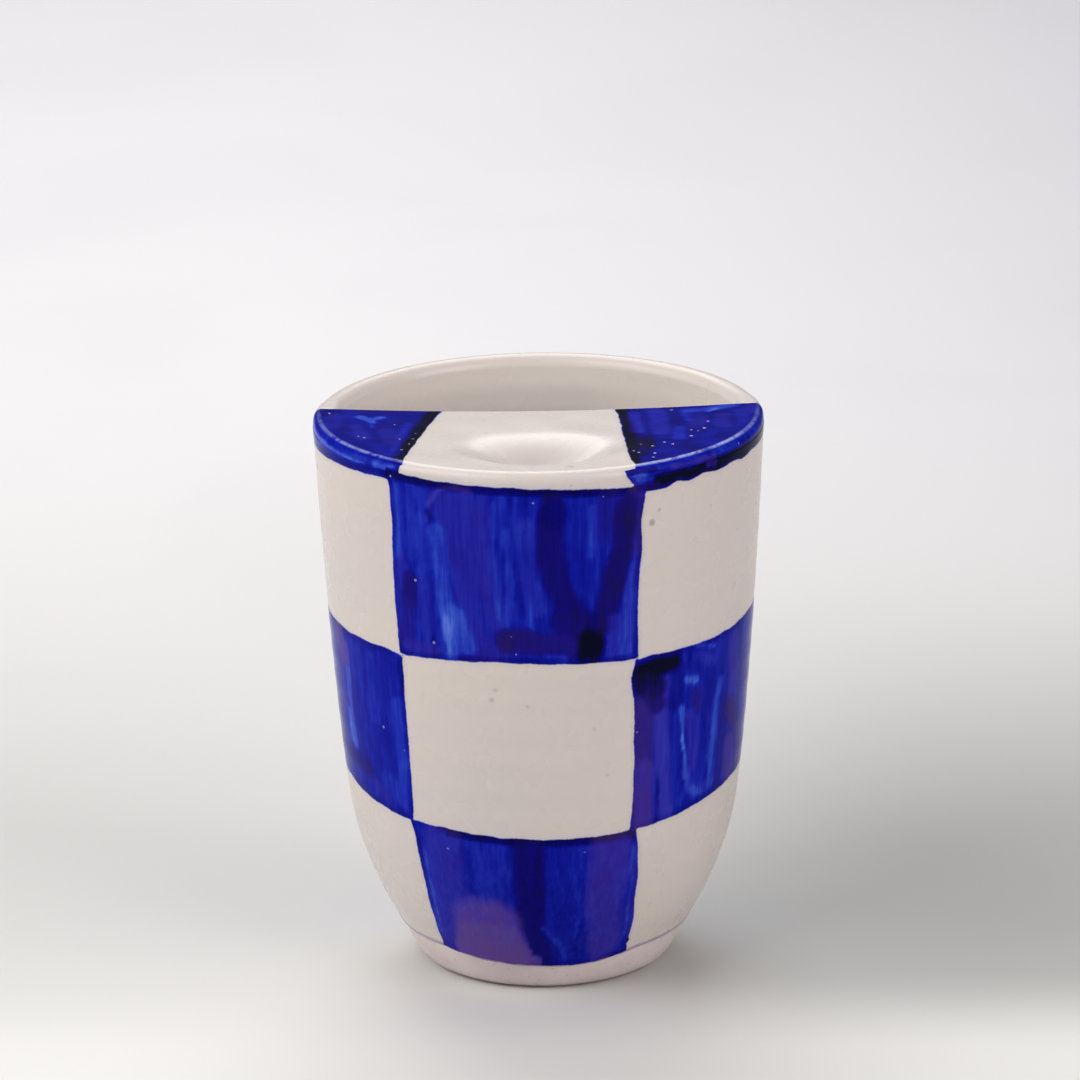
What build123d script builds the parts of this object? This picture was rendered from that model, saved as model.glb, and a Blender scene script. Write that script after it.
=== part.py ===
"""Stoneware mug with a half deck across its mouth, a pressed well in the deck and painted checks.

Millimetres, +Z up. The origin is the centre of the foot's resting plane, and the deck faces -Y.
"""
import os
from math import cos, degrees, radians, sin

from build123d import *

# Outside, measured over the glaze
mug_height = 106.0
rim_radius = 42.0
waist_radius = 37.2
waist_height = 38.0
foot_radius = 22.6
foot_round = 1.4
foot_lean = (0.8, 1.0)      # direction of the wall line as it leaves the foot
waist_lean = (0.11, 1.0)
rim_flare = 0.05            # how far the wall leans out for each millimetre near the rim

# Clay and glaze
wall = 3.9
floor_thickness = 6.0
floor_radius = 15.0         # flat middle of the inside floor
recess_depth = 1.2          # hollow under the foot
recess_radius = 17.0
glaze = 0.3
paint = 0.15                # blue layer in the outer part of the white glaze
slip = 0.4                  # luting slip between the cut rim and the deck

# Half deck
deck_thickness = 4.0
deck_reach = 0.3            # how far its free edge passes the middle of the mouth
deck_bow = 4.2              # how much further the free edge reaches at its two ends
edge_round = 1.4
coil_leg = 4.5              # soft coil worked into the corner under the deck

# Pressed well in the deck
well_width = 26.0
well_length = 22.0
well_depth = 5.0
well_inset = 6.0            # flat ledge between the well and the mug's outside
well_wall = 3.2             # clay left under the well

# Painted checks: columns are edges round the wall, in degrees from the front towards +X
column_edges = (-41.0, 27.0, 92.0, 147.0, 204.0, 260.0, 319.0)
foot_band = 6.5             # bare clay below the lowest row
rim_band = 3.5              # narrow row at the top of the wall
check_height = 33.5         # upper and middle rows; the lowest row takes the rest
brush_gap = 0.4             # white left between the corners of neighbouring checks
field_edge_left = -17.5     # where the deck's blue fields meet its free edge
field_edge_right = 14.0
field_turn_left = -38.0     # and where they meet the rim, in degrees from the front
field_turn_right = 23.0

# Heights and radii that follow
clay_top = mug_height - glaze
deck_underside = clay_top - deck_thickness
seat_height = deck_underside - slip
lip_height = clay_top - wall / 2
shoulder_radius = rim_radius - rim_flare * (mug_height - seat_height)
lip_radius = rim_radius - rim_flare * (mug_height - lip_height)
floor_height = recess_depth + floor_thickness
bow_radius = (rim_radius**2 + deck_bow**2) / (2 * deck_bow)
upper_line = mug_height - rim_band
middle_line = upper_line - check_height
lower_line = middle_line - check_height
far = 2 * rim_radius        # beyond the mug on every side


def outside_line(inset):
    """Outer wall line from the foot plane up to the deck's seat, then the straight top of the wall."""
    foot = (foot_radius - inset, 0)
    waist = (waist_radius - inset, waist_height)
    shoulder = (shoulder_radius - inset, seat_height)
    curve = Spline(foot, waist, shoulder, tangents=(foot_lean, waist_lean, (rim_flare, 1)))
    return curve, Line(curve @ 1, (lip_radius - inset, lip_height))


def inside_line(inset):
    """Inner wall line from the lip down to the edge of the flat floor."""
    depth = glaze + wall + inset
    shoulder = (shoulder_radius - depth, seat_height)
    waist = (waist_radius - depth, waist_height)
    floor_edge = (floor_radius, floor_height + inset)
    straight = Line((lip_radius - depth, lip_height), shoulder)
    tangents = ((-rim_flare, -1), (-waist_lean[0], -waist_lean[1]), (-1, -0.06))
    return straight, Spline(shoulder, waist, floor_edge, tangents=tangents)


def deck_plan(setback):
    """Plan of the deck, seen from above, drawn back from its free edge."""
    with BuildSketch() as plan:
        Circle(far)
        with Locations((0, deck_reach - setback + bow_radius)):
            Circle(bow_radius, mode=Mode.SUBTRACT)
        with Locations((0, far + 2 * deck_bow)):
            Rectangle(2 * far, 2 * far, mode=Mode.SUBTRACT)
    return plan.sketch


def deck_column(setback, low, high):
    """Upright block over the deck's plan, between two heights."""
    with BuildPart(Plane.XY.offset(low)) as column:
        add(deck_plan(setback))
        extrude(amount=high - low)
    return column.part


def well_form(growth):
    """Oval bowl of the well: a ball that dips well_depth into the deck, stretched along X."""
    half_length = well_length / 2
    ball_radius = (half_length**2 + well_depth**2) / (2 * well_depth)
    middle = well_inset + half_length - rim_radius
    with BuildPart() as form:
        with Locations((0, middle, clay_top - well_depth + ball_radius)):
            Sphere(ball_radius + growth)
        scale(by=(well_width / well_length, 1, 1))
    return form.part


def deck_disc(inset):
    """Round plate with the deck's flat top and rounded edge, drawn in from the finished surface."""
    with BuildPart() as disc:
        with BuildSketch(Plane.XZ) as profile:
            Polygon(
                (0, mug_height - inset),
                (0, deck_underside),
                (shoulder_radius - inset, deck_underside),
                (rim_radius - inset, mug_height - inset),
                align=None,
            )
            fillet(profile.vertices().sort_by(SortBy.DISTANCE)[-1], edge_round + glaze - inset)
        revolve(axis=Axis.Z)
    return disc.part


# Thrown cup: wall, floor and foot, with its front rim cut down for the deck
with BuildPart() as cup_body:
    with BuildSketch(Plane.XZ):
        with BuildLine():
            outer = outside_line(glaze)
            inner = inside_line(0)
            ThreePointArc(outer[1] @ 1, (lip_radius - glaze - wall / 2, clay_top), inner[0] @ 0)
            Polyline(
                inner[1] @ 1,
                (0, floor_height),
                (0, recess_depth),
                (recess_radius, recess_depth),
                (recess_radius + recess_depth, 0),
                outer[0] @ 0,
            )
        make_face()
    revolve(axis=Axis.Z)
    foot_edge = cup_body.edges().filter_by(GeomType.CIRCLE).group_by(Axis.Z)[0].sort_by(SortBy.RADIUS)[-1]
    fillet(foot_edge, foot_round)
    add(deck_column(0, seat_height, mug_height), mode=Mode.SUBTRACT)
cup_body.part.label = "cup_body"

# Slip between the cut rim and the deck
with BuildPart() as slip_joint:
    with BuildSketch(Plane.XY.offset(seat_height)):
        Circle(shoulder_radius - glaze)
        Circle(shoulder_radius - glaze - wall, mode=Mode.SUBTRACT)
    extrude(amount=slip)
    add(deck_column(0, seat_height, mug_height), mode=Mode.INTERSECT)
slip_joint.part.label = "slip_joint"

# Deck slab: cut to the mouth's plan, its clay bulging down under the well
with BuildPart() as deck_slab:
    add(deck_disc(glaze))
    add(well_form(well_wall))
    add(deck_column(glaze, 0, clay_top), mode=Mode.INTERSECT)
    add(well_form(0), mode=Mode.SUBTRACT)
deck_slab.part.label = "deck_slab"

# Coil worked into the corner between the wall and the deck's underside
with BuildPart() as joint_coil:
    with BuildSketch(Plane.XZ):
        with BuildLine():
            wall_side = shoulder_radius - glaze - wall
            tip = (wall_side - coil_leg, deck_underside)
            heel = (wall_side, deck_underside - coil_leg)
            RadiusArc(tip, heel, coil_leg)
            mid_wall = wall_side + wall / 2
            Polyline(heel, (mid_wall, deck_underside - coil_leg), (mid_wall, deck_underside), tip)
        make_face()
    revolve(axis=Axis.Z)
    add(deck_column(glaze, 0, mug_height), mode=Mode.INTERSECT)
    add([cup_body.part, slip_joint.part, deck_slab.part], mode=Mode.SUBTRACT)
joint_coil.part.label = "joint_coil"

# Coats over the outside wall and the deck, before the painted checks are taken out of them
with BuildPart() as wall_skin:
    with BuildSketch(Plane.XZ):
        with BuildLine():
            surface = outside_line(0)
            clay = outside_line(glaze)
            Line(surface[0] @ 0, clay[0] @ 0)
            Line(surface[1] @ 1, clay[1] @ 1)
        make_face()
    revolve(axis=Axis.Z)
    split(bisect_by=Plane.XY.offset(foot_band), keep=Keep.TOP)
wall_coat = wall_skin.part

with BuildPart() as deck_coat:
    add(deck_disc(0))
    add(well_form(0))
    add(deck_column(0, 0, mug_height), mode=Mode.INTERSECT)
    add(well_form(-glaze), mode=Mode.SUBTRACT)
    add([cup_body.part, slip_joint.part, deck_slab.part, wall_coat], mode=Mode.SUBTRACT)

# Liner: over the open lip, down the inner wall and across the floor, up to the coil in front
with BuildPart() as liner_glaze:
    with BuildSketch(Plane.XZ):
        with BuildLine():
            clay_side = inside_line(0)
            open_side = inside_line(glaze)
            crown = lip_radius - glaze - wall / 2
            ThreePointArc((lip_radius, lip_height), (crown, mug_height), open_side[0] @ 0)
            ThreePointArc((lip_radius - glaze, lip_height), (crown, clay_top), clay_side[0] @ 0)
            Line((lip_radius, lip_height), (lip_radius - glaze, lip_height))
            Polyline(clay_side[1] @ 1, (0, floor_height), (0, floor_height + glaze), open_side[1] @ 1)
        make_face()
    revolve(axis=Axis.Z)
    add(deck_column(0, deck_underside - coil_leg, mug_height), mode=Mode.SUBTRACT)
liner_glaze.part.label = "liner_glaze"


def check_wedges(low, high, columns):
    """Upright wedges over some columns of one row, reaching in from outside to the paint's depth."""
    margin = degrees(brush_gap / 2 / rim_radius)
    with BuildPart() as wedges:
        for column in columns:
            start, end = column_edges[column] + margin, column_edges[column + 1] - margin
            turns = (start, (start + end) / 2, end)
            corners = [(far * sin(radians(turn)), -far * cos(radians(turn))) for turn in turns]
            with BuildSketch(Plane.XY.offset(low + brush_gap / 2)):
                Polygon((0, 0), *corners, align=None)
            extrude(amount=high - low - brush_gap)
        add(unpainted_core, mode=Mode.SUBTRACT)
    return wedges.part


def painted_row(label, wedges):
    """Painted checks of one row: the wedges, kept where the coat is."""
    with BuildPart() as row:
        add(wall_coat)
        add(wedges, mode=Mode.INTERSECT)
    row.part.label = label
    return row.part


def deck_field(free_edge, turn, side):
    """Half plane beyond a painted field's edge, from the deck's free edge to the rim."""
    inner = Vector(free_edge, deck_reach)
    outer = Vector(rim_radius * sin(radians(turn)), -rim_radius * cos(radians(turn)))
    ends = (inner + (inner - outer), outer + (outer - inner))
    with BuildSketch() as field:
        Polygon(*ends, (side * far, ends[1].Y), (side * far, ends[0].Y), align=None)
    return field.sketch


# Everything inside the paint's depth, which the wedges must not reach
with BuildPart() as core:
    with BuildSketch(Plane.XZ):
        with BuildLine():
            backing = outside_line(paint)
            Polyline(backing[0] @ 0, (0, 0), (0, lip_height), backing[1] @ 1)
        make_face()
    revolve(axis=Axis.Z)
unpainted_core = core.part

wedge_rows = {
    "lower_checks": check_wedges(foot_band, lower_line, (0, 2, 4)),
    "middle_checks": check_wedges(lower_line, middle_line, (1, 3, 5)),
    "upper_checks": check_wedges(middle_line, upper_line, (0, 2, 4)),
    "rim_checks": check_wedges(upper_line, lip_height, (1, 3, 5)),
}
wall_checks = [painted_row(label, wedges) for label, wedges in wedge_rows.items()]

# Blue fields of the deck, left and right of its white middle
with BuildPart() as deck_checks:
    add(deck_field(field_edge_left, field_turn_left, -1))
    add(deck_field(field_edge_right, field_turn_right, 1))
    extrude(amount=mug_height)
    add(deck_coat.part, mode=Mode.INTERSECT)
    add(deck_disc(paint), mode=Mode.SUBTRACT)
deck_checks.part.label = "deck_checks"

# White coats, hollowed where the paint lies in them
with BuildPart() as wall_glaze:
    add(wall_coat)
    for wedges in wedge_rows.values():
        add(wedges, mode=Mode.SUBTRACT)
wall_glaze.part.label = "wall_glaze"

with BuildPart() as deck_glaze:
    add(deck_coat.part)
    add(deck_checks.part, mode=Mode.SUBTRACT)
deck_glaze.part.label = "deck_glaze"

clay_pieces = [cup_body.part, slip_joint.part, deck_slab.part, joint_coil.part]
white_coats = [wall_glaze.part, deck_glaze.part, liner_glaze.part]

os.makedirs("parts", exist_ok=True)
for piece in clay_pieces + white_coats + wall_checks + [deck_checks.part]:
    export_step(piece, f"parts/{piece.label}.step")
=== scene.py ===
import math

import bpy
import numpy as np
from mathutils import Matrix, Vector


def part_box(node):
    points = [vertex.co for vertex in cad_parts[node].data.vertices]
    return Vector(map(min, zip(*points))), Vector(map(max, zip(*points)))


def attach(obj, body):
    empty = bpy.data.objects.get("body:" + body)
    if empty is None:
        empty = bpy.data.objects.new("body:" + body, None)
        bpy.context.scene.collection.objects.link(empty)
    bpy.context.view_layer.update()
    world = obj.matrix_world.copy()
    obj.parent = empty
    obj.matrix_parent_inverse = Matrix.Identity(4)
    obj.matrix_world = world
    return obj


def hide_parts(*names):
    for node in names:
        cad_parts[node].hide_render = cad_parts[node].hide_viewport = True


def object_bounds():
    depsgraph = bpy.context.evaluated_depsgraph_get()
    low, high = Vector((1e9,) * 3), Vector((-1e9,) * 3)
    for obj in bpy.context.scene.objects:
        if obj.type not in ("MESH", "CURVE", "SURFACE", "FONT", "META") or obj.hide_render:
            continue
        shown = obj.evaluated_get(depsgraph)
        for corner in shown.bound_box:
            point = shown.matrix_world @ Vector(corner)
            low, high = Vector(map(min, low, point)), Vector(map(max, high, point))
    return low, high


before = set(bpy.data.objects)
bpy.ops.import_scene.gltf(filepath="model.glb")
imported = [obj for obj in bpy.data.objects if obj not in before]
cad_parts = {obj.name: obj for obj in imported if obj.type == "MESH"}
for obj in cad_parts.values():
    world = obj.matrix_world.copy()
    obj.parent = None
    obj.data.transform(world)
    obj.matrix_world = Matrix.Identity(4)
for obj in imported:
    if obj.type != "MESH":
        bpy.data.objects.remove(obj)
cadBox = [list(corner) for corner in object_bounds()]
print("frame loaded")

# A half-decked stoneware mug. Shapes below are in millimetres and become metres in gridPiece.
# A turn is the angle round the mug in degrees, 0 at the deck side (-Y) and growing towards +X.

mm = 0.001
mugHeight = cadBox[1][2] / mm
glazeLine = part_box("wall_glaze")[0].z / mm          # the glaze stops here, above the bare foot
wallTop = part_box("wall_glaze")[1].z / mm            # top of the wall's coat, where lip and deck begin
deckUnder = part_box("deck_glaze")[0].z / mm
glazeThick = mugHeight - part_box("deck_slab")[1].z / mm

mug = {
    # (height, radius, slope) of the glazed outside
    "profile": [(0, 22.5, 1.0), (2.5, 24.7, 0.62), (6.5, 26.8, 0.42), (13, 30.2, 0.5), (20, 33.25, 0.36),
                (29, 35.9, 0.2), (40, 37.35, 0.11), (54, 38.65, 0.085), (70, 39.9, 0.07),
                (86, 40.95, 0.06), (106, 41.95, 0.045)],
    # (radius, height) down the glazed inside, from under the lip to the middle of the floor
    "inside": [(37.35, 103.7), (37.1, 98), (36.7, 90), (35.55, 70), (33.95, 50), (32.7, 38), (31.0, 24),
               (27.4, 14), (22.6, 9.7), (15.5, 7.9), (8, 7.5), (0, 7.45)],
    "rimRadius": 42.0,
    "wobble": 0.1,              # how far the thrown wall strays from round
    "ringHeight": 0.025,        # throwing rings left in the wall
    "lipWidth": 4.5,
}
deck = {
    "edgeMiddle": 0.3,          # the free edge passes the middle of the mouth by this much
    "bow": 4.2,                 # and reaches this much further back at its ends
    "rimRound": 1.7,
    "edgeRoundFree": 1.1,
    "hornRound": 1.3,
    "cornerPasses": 400,        # smoothing passes that round the deck's two corners in plan
    "columns": 520,
    "topRows": 116,
    # (turn, strength) of the pale line where the glaze wore through along the rounded edge
    "wornLine": [(-180, 0), (-95, 0.1), (-85, 0.45), (-60, 0.7), (-30, 0.7), (20, 1), (58, 1), (74, 0.6),
                 (85, 0.35), (95, 0.1), (180, 0)],
    "wellMiddle": (0.0, -27.4),
    "wellHalf": (12.4, 8.6),
    "wellDepth": 5.0,
    "softNear": 0.12,           # how gently the well's edge turns, near the rim and away from it
    "softFar": 2.3,
}
bowRadius = (mug["rimRadius"]**2 + deck["bow"]**2) / (2 * deck["bow"])
hornTurn = 90 + math.degrees(math.asin((deck["edgeMiddle"] + deck["bow"]) / mug["rimRadius"]))


# 0 below low, 1 above high, and 3t^2 - 2t^3 between
def smooth(low, high, x):
    t = np.clip((x - low) / (high - low), 0, 1)
    return t * t * (3 - 2 * t)


# Cubic Hermite curve through (x, y, slope) points, read at x
def readCurve(points, x):
    px, py, slope = np.array(points, float).T
    k = np.clip(np.searchsorted(px, x, side="right") - 1, 0, len(px) - 2)
    span = px[k + 1] - px[k]
    u = (x - px[k]) / span
    return ((2 * u**3 - 3 * u**2 + 1) * py[k] + (u**3 - 2 * u**2 + u) * span * slope[k]
            + (3 * u**2 - 2 * u**3) * py[k + 1] + (u**3 - u**2) * span * slope[k + 1])


# Smooth line through (x, y) points: each span eases with 3t^2 - 2t^3 mixed half and half with a straight
def readLine(points, x):
    px, py = np.array(points, float).T
    k = np.clip(np.searchsorted(px, x, side="right") - 1, 0, len(px) - 2)
    u = np.clip((x - px[k]) / (px[k + 1] - px[k]), 0, 1)
    return py[k] + (py[k + 1] - py[k]) * (0.5 * u + 0.5 * u * u * (3 - 2 * u))


# Catmull-Rom curve through a list of points, count samples spread evenly by length
def throughPoints(points, count):
    p = np.array(points, float)
    p = np.vstack([2 * p[0] - p[1], p, 2 * p[-1] - p[-2]])
    fine = np.linspace(0, len(points) - 1, 60 * len(points))
    k = np.minimum(fine.astype(int), len(points) - 2)
    u = (fine - k)[:, None]
    a, b, c, d = p[k], p[k + 1], p[k + 2], p[k + 3]
    curve = 0.5 * (2 * b + (c - a) * u + (2 * a - 5 * b + 4 * c - d) * u**2
                   + (3 * b - a - 3 * c + d) * u**3)
    run = np.concatenate([[0], np.cumsum(np.linalg.norm(np.diff(curve, axis=0), axis=1))])
    at = np.linspace(0, run[-1], count)
    return np.stack([np.interp(at, run, curve[:, i]) for i in range(p.shape[1])], 1)


# Smooth unevenness between about -1 and 1: a sum of sine waves with fixed random directions
def waves(x, y, seed, size, count=9):
    dice = np.random.default_rng(seed)
    turn = dice.uniform(0, 2 * np.pi, count)
    pace = 2 * np.pi / size * dice.uniform(0.6, 1.6, count)
    start = dice.uniform(0, 2 * np.pi, count)
    total = sum(np.sin(pace[i] * (x * np.cos(turn[i]) + y * np.sin(turn[i])) + start[i])
                for i in range(count))
    return total / math.sqrt(count) / 1.4


# Glazed outside radius: the profile, plus a slow wobble round the mug and faint throwing rings
def wallRadius(height, turn):
    angle = np.radians(turn)
    wobble = (0.6 * np.sin(2 * angle + 0.7) + 0.4 * np.sin(3 * angle + 2.1 + height * 0.02)) * mug["wobble"]
    rings = np.sin(height * 1.05 + 0.6 * np.sin(height * 0.31) + 0.35 * np.sin(angle)) * mug["ringHeight"]
    fade = smooth(0, 12, height) * (1 - smooth(94, 101, height))
    return readCurve(mug["profile"], height) + (wobble + rings) * fade


# Points at a radius, height and turn
def roundMug(radius, height, turn):
    angle = np.radians(turn)
    return np.stack([radius * np.sin(angle), -radius * np.cos(angle), height + 0 * angle], -1)


# Where the deck's free edge lies: a wide arc, its middle's place plus x squared over twice its radius
def freeEdge(x):
    return deck["edgeMiddle"] + x**2 / (2 * bowRadius)


# Depth of the well: a round-bottomed oval bowl, its edge softened more away from the rim
def wellSink(x, y):
    dx = (x - deck["wellMiddle"][0]) / deck["wellHalf"][0]
    dy = (y - deck["wellMiddle"][1]) / deck["wellHalf"][1]
    bowl = deck["wellDepth"] * (1 - dx**2 - dy**2)
    far = smooth(-0.6, 0.9, dy / np.sqrt(dx**2 + dy**2 + 1e-9))
    soft = deck["softNear"] + (deck["softFar"] - deck["softNear"]) * far
    return soft * np.logaddexp(0, np.clip(bowl / soft, -60, 60)) - soft * np.exp(-60)


# A mesh from a grid of points: rows along the first axis, columns round the second. With loop the columns
# close, with tube the rows close, and poles close the first or last row on one middle point
def gridPiece(name, points, material, attributes=None, loop=True, tube=False, poles=(False, False)):
    rows, columns = points.shape[:2]
    index = np.arange(rows * columns).reshape(rows, columns)
    if loop:
        index = np.concatenate([index, index[:, :1]], 1)
    if tube:
        index = np.concatenate([index, index[:1]], 0)
    quads = np.stack([index[:-1, :-1], index[:-1, 1:], index[1:, 1:], index[1:, :-1]], -1).reshape(-1, 4)
    spots, first, welded = np.unique(points.reshape(-1, 3).round(7), axis=0, return_index=True,
                                     return_inverse=True)
    index, quads = welded.reshape(-1)[index], welded.reshape(-1)[quads]
    double = quads == np.roll(quads, -1, 1)         # corners that fall on the next one: three left, or no face
    faces = quads[~double.any(1)].tolist()
    faces += quads[double.sum(1) == 1][~double[double.sum(1) == 1]].reshape(-1, 3).tolist()
    values = {key: value.reshape(-1)[first] for key, value in (attributes or {}).items()}
    for end, ring in ((0, index[0]), (1, index[-1])):
        if poles[end]:
            middle = len(spots)
            spots = np.vstack([spots, points[-end].mean(0)])
            values = {key: np.append(value, value[ring[0]]) for key, value in values.items()}
            pairs = zip(ring[:-1].tolist(), ring[1:].tolist())
            faces += [(a, b, middle) if end else (b, a, middle) for a, b in pairs]
    mesh = bpy.data.meshes.new(name)
    mesh.from_pydata((spots * mm).tolist(), [], faces)
    for key, value in values.items():
        mesh.attributes.new(key, "FLOAT", "POINT").data.foreach_set("value", value.astype(np.float32))
    mesh.polygons.foreach_set("use_smooth", [True] * len(mesh.polygons))
    mesh.materials.append(material)
    mesh.update()
    piece = bpy.data.objects.new(name, mesh)
    bpy.context.scene.collection.objects.link(piece)
    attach(piece, "root")
    return piece


# A node's output that Python's own signs work on, by adding Math nodes
class Wire:
    def __init__(self, sheet, socket):
        self.sheet = sheet
        self.socket = socket

    def maths(self, operation, *values):
        return self.sheet.node("Math", {"operation": operation}, dict(enumerate(values)))

    def __add__(self, other):
        return self.maths("ADD", self, other)

    def __sub__(self, other):
        return self.maths("SUBTRACT", self, other)

    def __rsub__(self, other):
        return self.maths("SUBTRACT", other, self)

    def __mul__(self, other):
        return self.maths("MULTIPLY", self, other)

    def __truediv__(self, other):
        return self.maths("DIVIDE", self, other)

    __radd__ = __add__
    __rmul__ = __mul__


# One material's node tree
class Sheet:
    def __init__(self, name):
        self.material = bpy.data.materials.new(name)
        self.material.use_nodes = True
        self.tree = self.material.node_tree
        self.tree.nodes.remove(self.tree.nodes["Principled BSDF"])

    def node(self, kind, settings=None, plugs=None, out=0):
        made = self.tree.nodes.new("ShaderNode" + kind)
        for key, value in (settings or {}).items():
            if key == "stops":
                ramp = made.color_ramp
                while len(ramp.elements) < len(value):
                    ramp.elements.new(0.5)
                for element, (place, colour) in zip(ramp.elements, value):
                    element.position = place
                    element.color = (*colour, 1)
            else:
                setattr(made, key, value)
        for key, value in (plugs or {}).items():
            self.plug(made.inputs[key], value)
        return Wire(self, made.outputs[out])

    def plug(self, socket, value):
        if isinstance(value, Wire):
            self.tree.links.new(value.socket, socket)
        else:
            socket.default_value = value

    def surface(self, **plugs):
        names = {"colour": "Base Color", "roughness": "Roughness", "normal": "Normal",
                 "shine": "Specular IOR Level"}
        return self.node("BsdfPrincipled", {}, {names[key]: value for key, value in plugs.items()})

    def finish(self, surface):
        self.plug(self.tree.nodes["Material Output"].inputs["Surface"], surface)
        return self.material

    def place(self):
        return self.node("TexCoord", out="Object")

    def value(self, name):
        return self.node("Attribute", {"attribute_name": name}, out="Fac")

    def noise(self, where, scale, detail=3.0, roughness=0.5, warp=0.0):
        return self.node("TexNoise", {}, {"Vector": where, "Scale": scale, "Detail": detail,
                                          "Roughness": roughness, "Distortion": warp})

    def cells(self, where, scale):
        return self.node("TexVoronoi", {"feature": "F1"}, {"Vector": where, "Scale": scale, "Randomness": 1.0})

    def between(self, value, low, high, toLow=0.0, toHigh=1.0):
        return self.node("MapRange", {"interpolation_type": "SMOOTHSTEP"},
                         {0: value, 1: low, 2: high, 3: toLow, 4: toHigh})

    def blend(self, share, first, second, way="MIX"):
        first, second = [(*c, 1) if isinstance(c, tuple) and len(c) == 3 else c for c in (first, second)]
        return self.node("Mix", {"data_type": "RGBA", "blend_type": way},
                         {0: share, 6: first, 7: second}, out=2)

    def stretch(self, where, scale):
        return self.node("VectorMath", {"operation": "MULTIPLY"}, {0: where, 1: scale})

    def bump(self, height, distance, strength=1.0, normal=None):
        plugs = {"Height": height, "Distance": distance, "Strength": strength}
        if normal:
            plugs["Normal"] = normal
        return self.node("Bump", {}, plugs)


white = {
    "cool": (0.60, 0.55, 0.535),
    "warm": (0.63, 0.568, 0.53),
    # a brighter white, painted on as light over the deck and the inside of the mug
    "inside": (0.84, 0.78, 0.725),
    "speck": (0.16, 0.15, 0.19),
    "glazeEnd": (0.27, 0.22, 0.33),
    # painted shade for the deck where it lies low: in the well and over its rounded edge
    "paintedShade": (0.46, 0.42, 0.415),
    "shine": 0.35,
    "orangePeel": 0.00001,
}
cobalt = {
    # from a thin pale wash to paint laid on thickest
    "wash": [(0.0, (0.12, 0.20, 0.74)), (0.2, (0.030, 0.076, 0.53)), (0.36, (0.0105, 0.025, 0.42)),
             (0.52, (0.0035, 0.0085, 0.32)), (0.68, (0.0016, 0.0026, 0.205)),
             (0.84, (0.0012, 0.0010, 0.145)), (1.0, (0.001, 0.0018, 0.016))],
    "violet": (0.128, 0.056, 0.245),
    "pale": (0.40, 0.43, 0.68),
    "bleed": (0.36, 0.38, 0.62),        # tint of the white just outside the blue
    "wornEdge": (0.25, 0.30, 0.64),
    "shine": 0.03,
    "roughness": 0.16,
}


# Colour of the blue paint: the pigment laid on the mesh, broken up by bristle streaks and blotches
def brushedCobalt(sheet, where, bristles):
    pigment = sheet.value("pigment")
    violet = sheet.value("violet")
    streaks = sheet.noise(sheet.stretch(where, bristles), 1.0, 3.0, 0.6)
    fine = sheet.noise(sheet.stretch(where, tuple(2.8 * pace for pace in bristles)), 1.0, 2.0, 0.6)
    blotches = sheet.noise(where, 190.0, 4.0, 0.55, 0.5)
    depth = pigment + (streaks - 0.5) * 0.3 + (fine - 0.5) * 0.1 + (blotches - 0.5) * 0.22
    colour = sheet.node("ValToRGB", {"stops": cobalt["wash"]}, {"Fac": depth})
    colour = sheet.blend(violet * (0.92 + (blotches - 0.5) * 0.8), colour, cobalt["violet"])
    pinhole = sheet.cells(where, 330.0)
    seldom = sheet.between(sheet.noise(where, 210.0, 1.0), 0.62, 0.66)
    dots = sheet.between(pinhole, 0.06, 0.11, 1.0, 0.0) * seldom
    return sheet.blend(dots * 0.6, colour, cobalt["pale"]), streaks


# Colour of the white glaze: cooler and warmer clouds and a few dark iron specks
def whiteCoat(sheet, where, specks):
    clouds = sheet.noise(where, 28.0, 1.0, 0.5)
    colour = sheet.blend(sheet.between(clouds, 0.25, 0.75), white["cool"], white["warm"])
    cells = sheet.cells(where, 105.0)
    seldom = sheet.between(sheet.noise(where, 60.0, 1.0), 0.60, 0.64)
    ragged = cells + (sheet.noise(where, 900.0, 2.0) - 0.5) * 0.05
    marks = sheet.between(ragged, 0.02, 0.07, 1.0, 0.0) * seldom * 0.4
    for (x, y, z), size, depth in specks:
        spot = (x * mm, y * mm, z * mm)
        gap = sheet.node("VectorMath", {"operation": "DISTANCE"}, {0: where, 1: spot}, out=1)
        ragged = gap + (sheet.noise(where, 1800.0, 2.0) - 0.5) * (size * 0.5 * mm)
        marks = marks + sheet.between(ragged, size * 0.2 * mm, size * 0.6 * mm, depth, 0.0)
    return sheet.blend(marks, colour, white["speck"])


# The point of the wall's surface at a turn and a height
def onWall(turn, height):
    turn, height = np.array([float(turn)]), np.array([float(height)])
    return tuple(float(v) for v in roundMug(wallRadius(height, turn), height, turn)[0])


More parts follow.
